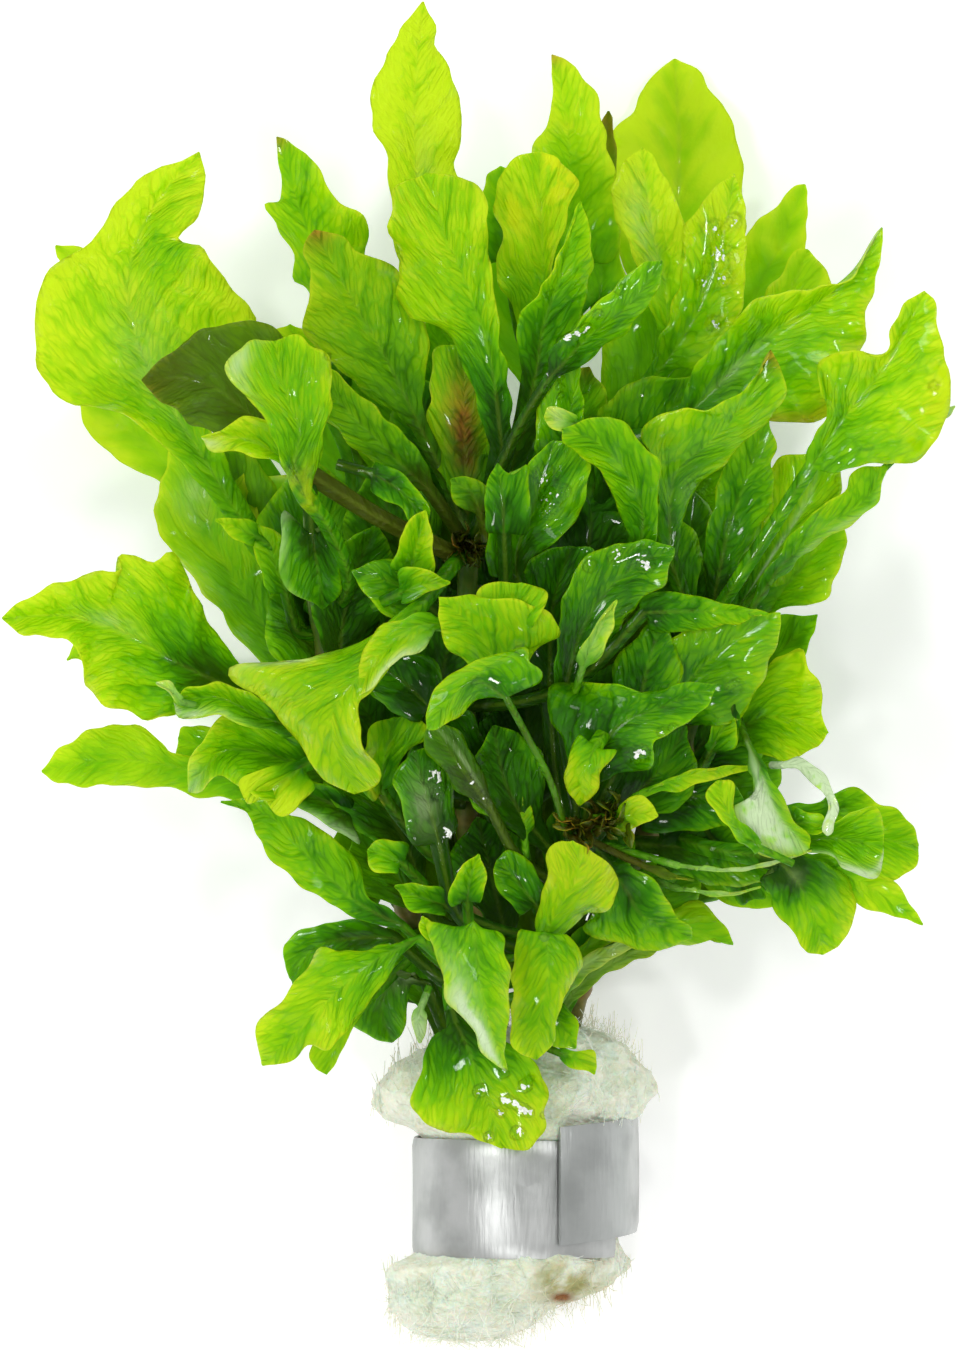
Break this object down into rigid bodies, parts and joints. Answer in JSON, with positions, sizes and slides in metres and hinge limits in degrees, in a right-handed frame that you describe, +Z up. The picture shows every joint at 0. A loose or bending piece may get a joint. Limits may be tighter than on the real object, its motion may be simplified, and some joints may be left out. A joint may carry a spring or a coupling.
{
  "type": "bunch of ammannia aquarium plants",
  "caption": "Bunch of bright green leafy water-plant stems lying down, held in a plug of mineral wool inside a wound lead strip.",
  "frame": {"origin": "on the surface the bunch lies on, under the middle of its bounding box", "axes": "+Y along the bunch from the wool to the leaf tips, +Z up from the surface, +X across"},
  "size_m": [0.1137, 0.1613, 0.0602],
  "materials": {
    "leaf": "wet thin leaf, bright yellow-green",
    "stem": "green to red-brown stem",
    "mineral_wool": "matt pale fibre",
    "lead": "dull soft metal with fine scratches"
  },
  "bodies": {
    "root": {"lead_strip": "lead", "wool": "mineral_wool", "stem_front": "stem", "stem_centre": "stem", "stem_left": "stem", "stem_right": "stem", "stem_rear": "stem", "leaf_top_tall": "leaf", "leaf_top_wavy": "leaf", "leaf_yellow_spotted": "leaf", "leaf_pointed_back": "leaf", "leaf_big_back": "leaf", "leaf_bright_back": "leaf", "leaf_narrow_upright": "leaf", "leaf_folded_gloss": "leaf", "leaf_spangled": "leaf", "leaf_right_back_tall": "leaf", "leaf_horned": "leaf", "leaf_two_lobed": "leaf", "leaf_red_ribbed": "leaf", "leaf_giant_left": "leaf", "leaf_left_behind": "leaf", "leaf_red_tipped": "leaf", "leaf_orange_tipped": "leaf", "leaf_olive_narrow": "leaf", "leaf_olive_brown": "leaf", "leaf_front_curled": "leaf", "leaf_long_left": "leaf", "leaf_left_lobed": "leaf", "leaf_far_left": "leaf", "leaf_left_cupped": "leaf", "leaf_front_left": "leaf", "leaf_front_top": "leaf", "leaf_front_drooping": "leaf", "leaf_front_wide": "leaf", "leaf_gloss_dark": "leaf", "leaf_spoon": "leaf", "leaf_bright_bent": "leaf", "leaf_orange_point": "leaf", "leaf_right_upper": "leaf", "leaf_right_ribbed": "leaf", "leaf_right_twisted": "leaf", "leaf_right_side": "leaf", "leaf_right_bright": "leaf", "leaf_right_big": "leaf", "leaf_white_backed": "leaf", "leaf_right_round": "leaf", "leaf_right_drooping": "leaf", "leaf_low_right": "leaf", "leaf_bright_knob": "leaf", "leaf_low_left_bright": "leaf", "leaf_low_left_dark": "leaf", "leaf_long_low_left": "leaf", "leaf_white_underside": "leaf", "leaf_hanging_right": "leaf", "leaf_over_band": "leaf", "leaf_under_left": "leaf", "leaf_under_top_left": "leaf", "leaf_under_top_right": "leaf", "leaf_under_right": "leaf"}
  },
  "joints": []
}
